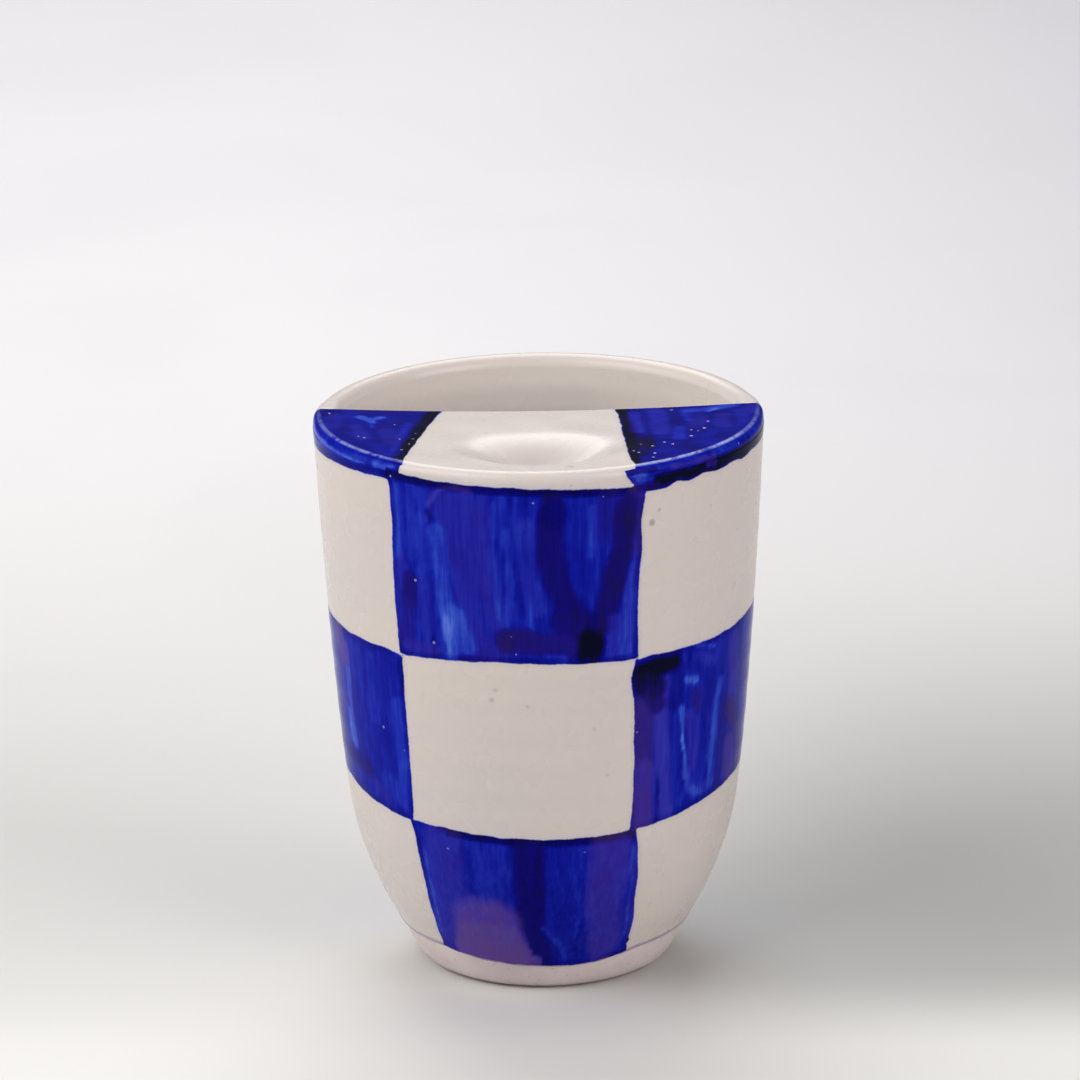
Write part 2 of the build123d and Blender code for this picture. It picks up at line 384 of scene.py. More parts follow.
# Borders of the blue checks: sides as (height, turn) points, bottom and top as (turn, height) points
checks = [
    # lowest row: front, right of the back, left of the back
    {"left": [(6, -44.5), (10, -43), (15, -41.8), (20, -40.8), (25, -40.3), (32, -40.7), (35.5, -42)],
     "right": [(6, 34.3), (8.3, 33.1), (9.2, 32.4), (10, 33.2), (10.8, 32.2), (15, 31.4), (20, 30.2),
               (25, 29.4), (30, 28.6), (35, 27.6)],
     "bottom": [(-45, 8.0), (-36, 7.3), (-25, 6.7), (-10, 6.2), (0, 6.0), (10, 5.9), (20, 6.2), (30, 7.0),
                (35, 7.5)],
     "top": [(-43, 35.6), (-30, 35.4), (-20, 34.9), (-10, 34.6), (0, 34.4), (10, 34.4), (20, 34.6),
             (30, 35)]},
    {"left": [(6, 92), (20, 91), (36, 92.5)], "right": [(6, 146), (20, 147.5), (36, 147)],
     "bottom": [(90, 7.2), (120, 6.6), (150, 7.1)], "top": [(90, 38.6), (120, 37), (150, 36.4)]},
    {"left": [(6, 204), (20, 203), (36, 204.5)], "right": [(6, 259), (20, 260.5), (36, 260)],
     "bottom": [(200, 7), (230, 6.5), (262, 7.4)], "top": [(200, 36.2), (230, 36.8), (262, 38.4)]},
    # middle row: right, back, left
    {"left": [(35, 25.3), (40, 25.9), (50, 25.7), (60, 25.4), (63, 24.6), (65, 24.3), (68, 25.2),
              (70, 25.4)], "right": [(35, 92), (50, 91.3), (70, 92.6)],
     "bottom": [(24, 34.8), (30, 34.9), (40, 35.6), (50, 36.6), (60, 37.4), (70, 38.2), (93, 38.9)],
     "top": [(24, 68.5), (30, 69), (50, 69), (60, 69.2), (70, 69.8), (80, 70.1), (93, 70)]},
    {"left": [(35, 147.5), (50, 146.5), (70, 147)], "right": [(35, 203), (50, 204.2), (70, 203.6)],
     "bottom": [(146, 36.7), (175, 36), (205, 36.4)], "top": [(146, 69.4), (175, 70), (205, 69.5)]},
    {"left": [(35, 260.4), (50, 261), (70, 259.8)],
     "right": [(35, 319), (40, 319.9), (50, 320), (60, 320), (66, 320.2), (70, 320.3)],
     "bottom": [(258, 38.6), (285, 38.4), (295, 37.3), (305, 36.4), (315, 35.5), (321, 35.3)],
     "top": [(258, 69.6), (285, 69.5), (300, 69.1), (315, 69), (318, 68.7), (321, 67.9)]},
    # upper row: front, then behind
    {"left": [(68, -40.6), (75, -41), (85, -41.1), (95, -40.6), (101, -40.8), (103, -41.6)],
     "right": [(68, 26.4), (75, 26.1), (80, 25.9), (85, 26.1), (90, 26.8), (95, 26.5), (100, 27.4),
               (103, 27.9)],
     "bottom": [(-42, 68.9), (-38, 68.6), (-30, 68.9), (-20, 69.2), (-10, 69.5), (0, 69.2), (10, 69),
                (27, 68.7)],
     "top": [(-42, 104.3), (-35, 103.9), (-20, 103.5), (-10, 103.4), (0, 103.1), (10, 102.8), (20, 102.4),
             (24, 102.3), (29, 102.3)]},
    {"left": [(68, 92), (85, 91.4), (103, 92.4)], "right": [(68, 146.6), (85, 147.4), (103, 147)],
     "bottom": [(90, 70), (120, 69.2), (150, 69.4)], "top": [(90, 101.9), (120, 101.8), (150, 101.9)]},
    {"left": [(68, 204), (85, 203.2), (103, 204.4)], "right": [(68, 260), (85, 261), (103, 260.4)],
     "bottom": [(202, 69.5), (230, 69), (262, 69.7)], "top": [(202, 101.9), (230, 101.8), (262, 101.6)]},
    # narrow row at the rim: right, back, left
    {"left": [(100, 26.0), (102, 25.3), (103, 23.6), (104.4, 22.2), (107, 21.4)],
     "right": [(100, 92.4), (wallTop, 92.6), (wallTop + 0.15, 98), (107, 98)],
     "bottom": [(20, 100.9), (27, 101.0), (33, 100.9), (37, 101.7), (41, 101.3), (46, 102.0), (52, 101.5),
                (58, 102.1), (63, 101.6), (70, 102.0), (93, 101.9), (99, 101.9)],
     "top": [(20, 108), (99, 108)]},
    {"left": [(100, 147), (107, 146.5)], "right": [(100, 203.6), (107, 204)],
     "bottom": [(145, 101.9), (175, 102.1), (206, 101.9)],
     "top": [(145, 105.3), (175, 105.2), (206, 105.3)]},
    {"left": [(100, 260.4), (107, 260.8)],
     "right": [(100, 320.8), (103, 322.6), (104.4, 322.6), (107, 323)],
     "bottom": [(258, 101.4), (280, 101.5), (300, 102.0), (314, 102.3), (323, 102.4)],
     "top": [(258, 108), (324, 108)]},
]
# Inner borders of the deck's two blue fields, as (y, x) points
fieldLeft = [(-34, -24.9), (-31, -24.5), (-26, -23.6), (-20, -22.3), (-12, -20.8), (-5, -19.2),
             (0.6, -17.6), (6, -16)]
fieldRight = [(-40, 17.6), (-36.5, 17.3), (-33, 16.6), (-28, 16.2), (-20, 15.7), (-12, 15.2), (-5, 14.9),
              (1.2, 14), (6, 13.4)]

# Brush strokes: a path, width in mm, pigment from 0 (thin wash) to 1 (thickest), strength, and violet cast.
# Wall paths are (turn, height); deck paths are (x, y) in mm.
wallStrokes = [
    # upper front check
    ([(-39, 101), (-39, 88)], 2.2, 0.24, 0.7, 0), ([(-34, 102), (-34.5, 88)], 2.0, 0.3, 0.6, 0),
    ([(-31.5, 101), (-32, 85)], 1.6, 0.26, 0.6, 0), ([(-36, 101), (-36.5, 90)], 1.1, 0.5, 0.5, 0),
    ([(-38.5, 86), (-38, 72)], 4.0, 0.44, 0.6, 0.1), ([(-35.4, 83.8), (-36.2, 79.6)], 3.3, 0.85, 0.9, 0.06),
    ([(-36.4, 79), (-37, 72)], 3.0, 0.66, 0.8, 0.06), ([(-32, 84), (-31, 74)], 2.6, 0.46, 0.6, 0.08),
    ([(-37, 70.5), (-28.5, 71)], 2.6, 0.5, 0.7, 0.15),
    ([(-21, 98.4), (-20.4, 93), (-18, 86), (-15.5, 79), (-14.5, 72)], 9.0, 0.5, 0.85, 0.09),
    ([(-29.4, 96), (-28.8, 99.4), (-26, 102), (-21.4, 102.8), (-17, 102)], 0.9, 0.3, 0.7, 0.3),
    ([(-29.2, 97.6), (-28, 95.4), (-26.2, 91), (-24.6, 86), (-22.6, 79)], 1.4, 0.74, 0.8, 0),
    ([(-27, 94), (-26.4, 88), (-25.6, 82), (-24.4, 76), (-24.4, 70.6)], 3.6, 0.22, 0.75, 0),
    ([(-23, 78), (-20, 72.5)], 4.2, 0.16, 0.7, 0), ([(-25.5, 77), (-24.6, 70)], 1.5, 0.03, 0.7, 0),
    ([(-11.6, 100), (-12, 92), (-11, 78)], 1.2, 0.3, 0.6, 0),
    ([(-8.6, 95), (-7.8, 84), (-9, 76)], 1.4, 0.28, 0.6, 0), ([(-14, 101), (-13.6, 84)], 2.2, 0.44, 0.5, 0.1),
    ([(-3.5, 96), (-3, 86), (-1, 80)], 3.4, 0.36, 0.6, 0.05), ([(-17, 82), (-13, 75)], 2.2, 0.5, 0.5, 0),
    ([(3.4, 100), (2.4, 96), (2.4, 91), (3.6, 86), (6.4, 81), (9.6, 77.6), (12, 74)], 4.4, 0.86, 0.92, 0.03),
    ([(4.2, 98.6), (3.6, 97.8)], 5.0, 0.84, 0.8, 0), ([(6, 77.5), (14, 76)], 4.6, 0.84, 0.9, 0.04),
    ([(9, 101), (10.6, 92), (12.6, 84)], 4.6, 0.5, 0.75, 0), ([(13.4, 99), (13, 90)], 1.4, 0.22, 0.6, 0),
    ([(24.8, 102), (24.6, 90)], 3.0, 0.5, 0.8, 0.22), ([(18, 101), (17, 94)], 4.2, 0.62, 0.7, 0.06),
    ([(23, 99), (21.4, 91), (19.2, 85), (17.4, 80), (15.8, 76)], 4.4, 0.9, 0.92, 0.05),
    ([(25.2, 87), (23.6, 80), (22.6, 70.5)], 2.8, 0.3, 0.8, 0.05),
    ([(19.4, 77), (18.6, 70.5)], 2.6, 0.36, 0.6, 0.1), ([(-8.8, 73.8), (-4.6, 74)], 4.4, 0.93, 0.88, 0.12),
    ([(-4, 73.4), (3, 73.2), (9, 72)], 4.2, 0.78, 0.85, 0.08), ([(13.4, 77.5), (13.2, 75)], 2.2, 0.9, 0.6, 0),
    ([(13.2, 73), (12.4, 70)], 5.2, 1.05, 0.95, 0), ([(6, 70.2), (2, 70.4)], 1.2, 0.3, 0.6, 0),
    ([(-20, 69.9), (4, 69.9)], 0.8, 0.68, 0.6, 0),
    # middle right check
    ([(29, 60), (28, 50), (28.4, 40), (29, 36)], 5.2, 0.7, 0.85, 0.24),
    ([(29, 46), (29.4, 36)], 4.6, 0.46, 0.7, 0.34),
    ([(35.4, 63), (33.8, 58), (34.8, 50), (36.6, 43), (37.6, 37)], 3.4, 0.36, 0.8, 0.2),
    ([(38.8, 65), (38.4, 59)], 4.0, 0.66, 0.8, 0), ([(40, 55), (38.5, 47), (40.4, 39)], 2.6, 0.46, 0.6, 0),
    # two thin pale streaks that lighten the blue here
    ([(41.2, 57), (42, 51), (43.4, 47), (44, 43)], 1.3, 0.1, 0.8, 0),
    ([(41.8, 51.6), (42.6, 49)], 1.0, 0.0, 0.7, 0), ([(44.4, 44), (45.6, 40.4), (49, 39)], 2.0, 0.2, 0.7, 0.05),
    ([(49, 39.4), (54, 39.4)], 2.4, 0.28, 0.6, 0.05), ([(46.6, 58.6), (48, 57)], 3.2, 0.72, 0.75, 0.15),
    ([(42.6, 62.4), (46, 62)], 1.5, 0.1, 0.8, 0), ([(44.5, 55), (46.5, 50), (46.5, 45)], 3.0, 0.4, 0.6, 0.15),
    ([(46, 68.9), (50, 68), (53, 67.4)], 1.0, 0.06, 0.8, 0), ([(47, 66.5), (53, 64)], 2.0, 0.38, 0.6, 0.1),
    ([(52, 62), (52, 56)], 3.6, 0.58, 0.7, 0),
    ([(57.6, 59.5), (55.6, 56), (55.6, 49), (54.6, 45), (56, 40)], 2.4, 0.24, 0.8, 0),
    ([(50, 46), (50.5, 41)], 2.4, 0.46, 0.6, 0), ([(60, 56), (59.6, 48), (60, 38)], 2.8, 0.66, 0.8, 0.05),
    ([(64, 66), (66, 56)], 4.6, 0.46, 0.7, 0.2), ([(64.5, 53), (68, 50)], 4.2, 0.84, 0.75, 0.25),
    ([(65, 45), (67, 40)], 5.0, 0.56, 0.7, 0.4), ([(72, 64), (74, 54)], 4.0, 0.6, 0.7, 0.1),
    ([(72.5, 48), (75, 40)], 3.2, 0.74, 0.7, 0.3), ([(79, 66), (80, 42)], 4.0, 0.5, 0.7, 0.1),
    ([(85, 66), (85, 42)], 3.6, 0.66, 0.6, 0.1), ([(27, 65.6), (32, 66.2), (37, 67)], 4.2, 1.05, 0.97, 0),
    ([(28.2, 63.6), (32, 62.6)], 5.0, 1.0, 0.93, 0.02), ([(30.6, 61), (32.4, 59)], 3.6, 0.9, 0.8, 0.06),
    # middle left check
    ([(-47, 66), (-46.6, 56), (-47.4, 47)], 5.6, 0.54, 0.75, 0), ([(-53, 66), (-53.4, 54)], 2.4, 0.4, 0.6, 0),
    ([(-43, 58), (-42.6, 48), (-43.4, 39)], 3.8, 0.3, 0.75, 0), ([(-50, 42), (-46, 40)], 4.0, 0.36, 0.6, 0),
    ([(-59, 66), (-60, 54)], 3.2, 0.46, 0.6, 0), ([(-61, 57), (-58, 54)], 3.2, 0.55, 0.6, 0),
    ([(-66.4, 66), (-66.6, 58), (-67, 52), (-66.6, 46.4)], 2.2, 0.18, 0.8, 0.12),
    ([(-68.6, 53), (-68.4, 47)], 1.6, 0.12, 0.7, 0), ([(-71, 67), (-69, 64.4)], 5.4, 0.5, 0.8, 0.62),
    ([(-72, 43.6), (-65, 43.4), (-59, 43)], 3.6, 0.72, 0.8, 0.05),
    ([(-56, 40), (-50, 38.4)], 2.4, 0.5, 0.6, 0.12), ([(-76, 62), (-77, 50)], 4.0, 0.62, 0.7, 0.1),
    ([(-79, 47), (-78, 41)], 3.4, 0.68, 0.7, 0), ([(-74, 58), (-73.4, 52)], 1.8, 0.4, 0.6, 0.1),
    ([(-83, 66), (-83, 42)], 4.4, 0.5, 0.7, 0), ([(-90, 66), (-90, 42)], 4.4, 0.62, 0.7, 0.05),
    ([(-42.4, 68.4), (-40.8, 68)], 0.9, 0.05, 0.8, 0),
    # lower front check
    ([(-31, 33), (-31, 26), (-34.6, 19), (-38.6, 10)], 8.6, 0.44, 0.85, 0.12),
    ([(-38.8, 29), (-38.8, 22), (-41, 12)], 2.0, 0.2, 0.7, 0.05), ([(-17, 33), (-17, 24)], 6.4, 0.42, 0.7, 0),
    ([(-4.4, 33), (-4, 24), (-5, 16), (-4.4, 11), (0.6, 8)], 6.6, 0.86, 0.88, 0.02),
    ([(4, 32), (5, 20), (6, 9)], 5.6, 0.54, 0.7, 0), ([(13.6, 32), (14, 18)], 1.8, 0.34, 0.6, 0.1),
    ([(20, 33), (20, 20), (22, 10)], 8.4, 0.46, 0.75, 0.26), ([(26, 20), (27, 17)], 3.0, 0.5, 0.5, 0),
    ([(27.6, 31), (28.8, 22), (30.6, 12)], 2.0, 0.22, 0.75, 0.1),
    ([(-0.4, 15), (4.6, 11.4), (7.6, 7.6)], 1.4, 0.34, 0.6, 0),
    ([(-24, 15), (-17, 15.2)], 11.5, 0.3, 0.75, 0.72), ([(-28, 11), (-13, 11)], 8.6, 0.26, 0.8, 0.9),
    ([(-33, 8.8), (-9, 8.4)], 5.4, 0.24, 0.85, 0.95), ([(-26, 7.4), (-4, 7)], 2.6, 0.26, 0.8, 0.9),
    ([(32, 10), (33.6, 9.9)], 0.8, 0.8, 0.8, 0),
    # rim strips
    ([(-46, 104.6), (-39, 104.4)], 1.6, 0.14, 0.85, 0), ([(-60, 104.6), (-50, 104.6)], 1.4, 0.34, 0.7, 0),
    ([(-90, 103.6), (-70, 104)], 1.5, 0.5, 0.7, 0), ([(23.4, 104.6), (27, 104.4)], 1.4, 0.16, 0.85, 0.1),
    ([(36, 104.8), (50, 104.6)], 1.2, 0.36, 0.7, 0.25), ([(52, 104.4), (62, 104.4)], 1.0, 0.3, 0.6, 0),
    ([(29, 102.3), (34, 102.6), (45, 102.8), (60, 103), (82, 103)], 2.4, 1.12, 0.96, 0),
    ([(25.6, 103.4), (28.6, 103)], 1.5, 0.26, 0.8, 0), ([(47.5, 103.4), (50, 103.2)], 1.1, 0.5, 0.6, 0.2),
    ([(26, 101.8), (31, 101.8)], 1.2, 0.92, 0.85, 0.05), ([(23.6, 104.9), (30, 104.9)], 0.7, 0.98, 0.8, 0),
    ([(-84, 104.4), (-66, 104.2), (-50, 103.9)], 0.8, 0.06, 0.75, 0),
    ([(-80, 103.2), (-60, 103.1), (-44, 103.4)], 0.4, 0.12, 0.7, 0),
    ([(-88, 102.4), (-41, 103.6)], 0.9, 0.85, 0.7, 0),
]
deckStrokes = [
    ([(-19.4, 1), (-20.6, -7), (-22.3, -15), (-24, -23), (-25, -30.6)], 3.0, 1.03, 0.95, 0),
    ([(-37, 2.4), (-28, 0.7), (-19, 0)], 0.9, 0.84, 0.7, 0.1),
    ([(-33, -3.2), (-31.2, -5.2), (-30.4, -7)], 1.7, 0.12, 0.85, 0),
    ([(-30.9, -5), (-29, -3.6)], 1.8, 0.14, 0.85, 0), ([(-30.9, -5.6), (-30.7, -10)], 1.3, 0.26, 0.7, 0),
    ([(-38, -2), (-38, -9)], 3.6, 0.5, 0.6, 0.08), ([(-35, -13), (-30, -22), (-26.4, -27.6)], 2.2, 0.6, 0.7, 0),
    ([(-28, -12), (-27, -20)], 3.0, 0.5, 0.6, 0.1),
    ([(-24.2, -8), (-25.6, -18), (-26.2, -25)], 1.6, 0.4, 0.6, 0.05),
    ([(-34, -9), (-32, -17)], 2.4, 0.48, 0.6, 0.1),
    ([(15.1, 1), (16.1, -6), (16.7, -14), (17, -24), (17.2, -31), (17.5, -36)], 2.5, 1.03, 0.95, 0),
    ([(19.4, -20), (19.4, -25), (18, -30)], 3.9, 0.98, 0.9, 0.02),
    ([(17.6, -3), (18.6, -15)], 2.2, 0.34, 0.6, 0.1), ([(22, -2), (22.6, -16)], 3.4, 0.4, 0.6, 0.1),
    ([(27.4, -1.6), (31, -1.4), (34, 0.4), (36.6, 1.9)], 2.6, 0.2, 0.8, 0),
    ([(32.8, -0.6), (31.6, -2.4)], 1.1, 0.04, 0.8, 0), ([(27, -3), (27.8, -8)], 1.5, 0.26, 0.6, 0),
    ([(30, -6), (29, -12)], 3.0, 0.56, 0.6, 0.1), ([(34, -5), (34, -12)], 2.8, 0.5, 0.6, 0.1),
    ([(37.6, -2), (37.6, -10)], 2.2, 0.5, 0.5, 0.05), ([(24.4, -23), (22.6, -28.6)], 2.6, 0.62, 0.8, 0),
    ([(26, -13), (25.6, -20)], 2.2, 0.32, 0.6, 0), ([(32, -15), (31, -19)], 2.2, 0.56, 0.6, 0),
    ([(39.4, 2.4), (40, -3)], 2.2, 0.46, 0.6, 0.1),
]

# small bare spots in the deck's blue: (x, y, width) in mm
deckChips = [(-38.7, -0.3, 0.9), (-26.4, -8.5, 0.7), (-32, -16.8, 0.8), (-22.5, -14.5, 0.6),
             (-23.1, -18, 0.6), (-23.7, -21.3, 0.5), (-25.5, -18, 0.5), (-25, -25, 0.6), (24.7, -1.2, 0.8),
             (31.3, -9, 0.7), (30.5, -13.5, 0.9), (28, -14.5, 0.6), (29.3, -15.2, 0.5), (28, -18.5, 0.8),
             (23, -22.5, 0.6), (24.5, -23.7, 0.7), (18.7, -23.5, 0.5), (20.8, -24.8, 0.7), (17.3, -28, 0.5),
             (18.2, -29, 0.6), (21.1, -29.5, 0.7), (20.8, -32, 0.6)]


brushwork = {
    "across": 0.7,              # mm to a degree, for the strokes round the wall
    "fineRagged": 0.12,         # unevenness of a stroke's sides, fine and broad
    "broadRagged": 0.26,
    "wallTone": 0.53,           # pigment under the strokes
    "deckTone": 0.66,
    "outlineTone": 0.78,        # paint gathers a little inside each border
    "bandTone": 0.93,           # and along the top of the two front checks
    "bands": [(6, -8, 34), (0, 0, 29)],     # (check, middle turn, half width in degrees) of those bands
}


# Lays each stroke over the last: full strength inside its width, soft and a little ragged at its sides
def strokeLayers(x, y, strokes, toMm, base):
    pigment = base.copy()
    violet = np.zeros_like(base)
    ragged = (brushwork["fineRagged"] * waves(x, y, 5, 2.4)
              + brushwork["broadRagged"] * waves(x, y, 6, 8.0))
    for path, width, tone, strength, cast in strokes:
        p = np.array(path, float) * toMm
        gap = np.full_like(x, 1e9)
        for a, b in zip(p[:-1], p[1:]):
            along = (x - a[0]) * (b[0] - a[0]) + (y - a[1]) * (b[1] - a[1])
            t = np.clip(along / ((b - a) @ (b - a)), 0, 1)
            gap = np.minimum(gap, np.hypot(x - a[0] - t * (b[0] - a[0]), y - a[1] - t * (b[1] - a[1])))
        soft = 0.28 + 0.13 * width
        cover = strength * smooth(width / 2 + soft, width / 2 - soft, gap + ragged)
        pigment += (tone - pigment) * cover
        violet += (cast - violet) * cover
    return pigment, violet


# How far inside the nearest check a point lies, in mm; negative outside
def checkDistance(turn, height, perDegree):
    best = np.full_like(height, -9.0)
    for check in checks:
        middle = (check["left"][0][1] + check["right"][0][1]) / 2
        near = (turn - middle + 180) % 360 - 180 + middle
        gaps = [(near - readLine(check["left"], height)) * perDegree,
                (readLine(check["right"], height) - near) * perDegree,
                height - readLine(check["bottom"], near), readLine(check["top"], near) - height]
        best = np.maximum(best, np.minimum.reduce(gaps))
    return best


# Attributes of the wall: distance to the blue's border, pigment and violet cast
def wallPaint(turn, height):
    near = (turn + 180) % 360 - 180
    perDegree = np.radians(1) * readCurve(mug["profile"], height)
    across = near * brushwork["across"]
    tremble = 0.1 * waves(across, height, 11, 6.0) + 0.05 * waves(across, height, 12, 1.6)
    inside = checkDistance(turn, height, perDegree) + tremble
    base = (brushwork["wallTone"] + 0.09 * waves(across * 3.0, height * 0.5, 21, 12.0)
            + 0.05 * waves(across * 4, height, 22, 7.0))
    pigment, violet = strokeLayers(across, height, wallStrokes, np.array([brushwork["across"], 1.0]), base)
    outline = smooth(1.1, 0.2, np.abs(inside - 0.45))
    uneven = 0.42 + 0.3 * waves(across, height, 31, 9.0)
    pigment += (brushwork["outlineTone"] - pigment) * outline * uneven * (violet < 0.8)
    bands = []
    for check, middle, reach in brushwork["bands"]:
        fromTop = np.abs(height - readLine(checks[check]["top"], near) + 0.6)
        bands.append(smooth(1.2, 0.4, fromTop) * (np.abs(near - middle) < reach))
    pigment += (brushwork["bandTone"] - pigment) * np.maximum(*bands) * 0.9
    return {"inside": inside, "pigment": np.clip(pigment, 0, 1.05), "violet": np.clip(violet, 0, 1)}


# Attributes of the deck: its two blue fields in plan, and the rim strips once past the rounded edge
def deckPaint(points, turn, worn):
    x, y, z = points[..., 0], points[..., 1], points[..., 2]
    tremble = 0.1 * waves(x, y, 13, 5.0) + 0.04 * waves(x, y, 14, 1.5)
    onTop = np.maximum(readLine(fieldLeft, y) - x, x - readLine(fieldRight, y)) + tremble
    for chipX, chipY, wide in deckChips:
        onTop = np.minimum(onTop, np.hypot(x - chipX, y - chipY) - wide * 0.34)
    strip = wallPaint(turn, z)
    side = smooth(0.35, 0.75, worn["bend"])
    base = brushwork["deckTone"] + 0.08 * waves(x * 2, y * 0.6, 23, 9.0)
    pigment, violet = strokeLayers(x, y, deckStrokes, np.array([1.0, 1.0]), base)
    pigment = pigment + (strip["pigment"] - pigment) * side
    beside = worn["thin"] * smooth(0, 0.14, worn["bend"]) * smooth(0.8, 0.4, worn["bend"])
    return {"inside": np.where(side > 0.5, strip["inside"], onTop),
            "pigment": pigment - 0.3 * beside * pigment,
            "violet": violet + (strip["violet"] - violet) * side, "worn": worn["edge"]}


# iron specks in the white: place, width in mm, strength
wallSpecks = [(onWall(29.5, 94.8), 1.5, 0.55), (onWall(31.5, 97), 0.9, 0.4), (onWall(-13.5, 62), 1.2, 0.3),
              (onWall(-12.5, 64), 0.9, 0.22), (onWall(-4, 61), 0.8, 0.3), (onWall(14, 56), 1.0, 0.2),
              (onWall(18, 46.6), 0.8, 0.25), (onWall(49, 95.2), 0.7, 0.2), (onWall(8, 103.6), 0.6, 0.3)]
deckSpecks = [((5.8, -37.4, 106), 1.5, 0.45), ((-1.2, -38, 106), 0.9, 0.3), ((-10.6, -36.6, 106), 0.7, 0.3),
              ((-9.6, -14.6, 106), 1.4, 0.25), ((-2, -21.2, 103.5), 0.9, 0.25),
              ((11.2, -17, 106), 1.2, 0.22), ((10, -12.2, 106), 0.8, 0.25), ((5.4, -17, 106), 0.9, 0.2)]


# White glaze with the cobalt laid in it where the mesh says so; thin and pale where the edge wore through.
# Painted light lightens the deck and the inside, and painted shade darkens the deck where it lies low
def glazedFinish(name, specks, bristles=None, pale=0.0, lowShade=False):
    sheet = Sheet(name)
    where = sheet.place()
    colour = whiteCoat(sheet, where, specks)
    # painted light: the deck and the inside are lightened towards the brighter white, for the stronger light
    # that falls on them
    if pale:
        colour = sheet.blend(pale, colour, white["inside"])
    peel = sheet.noise(where, 420.0, 0.0)
    swell = sheet.noise(where, 75.0, 0.0)
    rough = 0.28 + (sheet.noise(where, 130.0, 2.0) - 0.5) * 0.12
    height = peel * 0.05 + swell * 0.3
    up = sheet.node("SeparateXYZ", {}, {0: where}, out=2)
    if not bristles:
        normal = sheet.bump(height, white["orangePeel"])
        # painted light: the inside glaze lighter up towards the lip, and more so on the right
        across = sheet.node("SeparateXYZ", {}, {0: where}, out=0)
        reach = up + sheet.between(across, 0.004, 0.034) * 0.009
        paintedLight = sheet.between(reach, 0.092, 0.1035) * sheet.between(up, 0.104, 0.1055, 1.0, 0.0)
        colour = sheet.blend(paintedLight, colour, white["inside"])
        return sheet.finish(sheet.surface(colour=colour, roughness=rough, shine=white["shine"],
                                          normal=normal))
    # painted shade: the deck darker the lower it lies, down into the well and over its rounded edge and side
    if lowShade:
        paintedShade = sheet.between(up, 0.1015, 0.1056, 1.0, 0.0)
        colour = sheet.blend(paintedShade * 0.75, colour, white["paintedShade"])
    blue, streaks = brushedCobalt(sheet, where, bristles)
    inside = sheet.value("inside") + (sheet.noise(where, 1500.0, 2.0, 0.6) - 0.5) * 0.22
    bleed = sheet.between(inside, -1.1, 0.1) * 0.25
    colour = sheet.blend(bleed, colour, cobalt["bleed"])
    colour = sheet.blend(sheet.value("glazeEnd") * 0.8, colour, white["glazeEnd"])
    mask = sheet.between(inside, -0.12, 0.16)
    worn = sheet.value("worn") * sheet.between(sheet.noise(where, 420.0, 3.0, 0.7, 0.4), 0.30, 0.55)
    share = worn * 0.85
    thinned = sheet.blend(sheet.between(worn, 0.6, 1.0), cobalt["wornEdge"], cobalt["pale"])
    blue = sheet.blend(share, blue, thinned)
    normal = sheet.bump(height + mask * 1.5 + streaks * mask * 1.2, white["orangePeel"])
    bare = sheet.surface(colour=colour, roughness=rough, shine=white["shine"], normal=normal)
    inked = sheet.surface(colour=blue, roughness=cobalt["roughness"], shine=cobalt["shine"], normal=normal)
    return sheet.finish(sheet.node("MixShader", {}, {0: mask, 1: bare, 2: inked}))


clay = {
    "dark": (0.63, 0.545, 0.55),
    "light": (0.70, 0.62, 0.615),
    "grain": (0.26, 0.21, 0.19),
    "shine": 0.4,
    "grit": 0.00005,
}


# Fired bare stoneware: pinkish grey clouds, dark grains and fine grit
def bareClayFinish():
    sheet = Sheet("bareStoneware")
    where = sheet.place()
    colour = sheet.blend(sheet.between(sheet.noise(where, 90.0, 4.0, 0.6), 0.35, 0.65),
                         clay["dark"], clay["light"])
    grains = sheet.cells(where, 620.0)
    colour = sheet.blend(sheet.between(grains, 0.08, 0.25, 0.22, 0.0), colour, clay["grain"])
    grit = sheet.noise(where, 1900.0, 3.0, 0.65)
    rough = 0.5 + (grit - 0.5) * 0.2
    return sheet.finish(sheet.surface(colour=colour, roughness=rough, shine=clay["shine"],
                                      normal=sheet.bump(grit + grains * 0.5, clay["grit"])))


wallFinish = glazedFinish("paintedWallGlaze", wallSpecks, (1300.0, 1300.0, 55.0))
# the deck gets painted light and painted shade, the inside painted light
deckFinish = glazedFinish("paintedDeckGlaze", deckSpecks, (130.0, 520.0, 300.0), pale=0.28, lowShade=True)
linerFinish = glazedFinish("linerGlaze", [], pale=0.28)
clayFinish = bareClayFinish()
print("finishes made")

wallCoat = {
    "frontColumns": 330,
    "backColumns": 110,
    "rows": 184,
    "backRows": 8,
    # (turn, height) of the line where the outside glaze ends above the foot
    "glazeEnd": [(-180, 7.2), (-90, 8.1), (-45, 7.7), (-36, 7.0), (-25, 6.3), (-10, 5.8), (10, 5.6),
                 (20, 5.9), (30, 6.7), (40, 7.5), (60, 7.8), (90, 8.0), (180, 7.2)],
    "glazeRound": 0.35,
    "paintProud": 0.05,         # painted glaze stands this much higher
    "bead": 0.1,                # the roll of glaze at its lower end, and how high above the end it lies
    "beadHeight": 0.6,
    "beadWidth": 0.45,
    "endBand": 1.2,            # height of the grey-violet band that darkens the glaze along its end
}


# Columns round the mug, closer together over the front half
def evenTurns(front, back):
    return np.concatenate([np.linspace(-92, 92, front, endpoint=False),
                           np.linspace(92, 268, back, endpoint=False)])


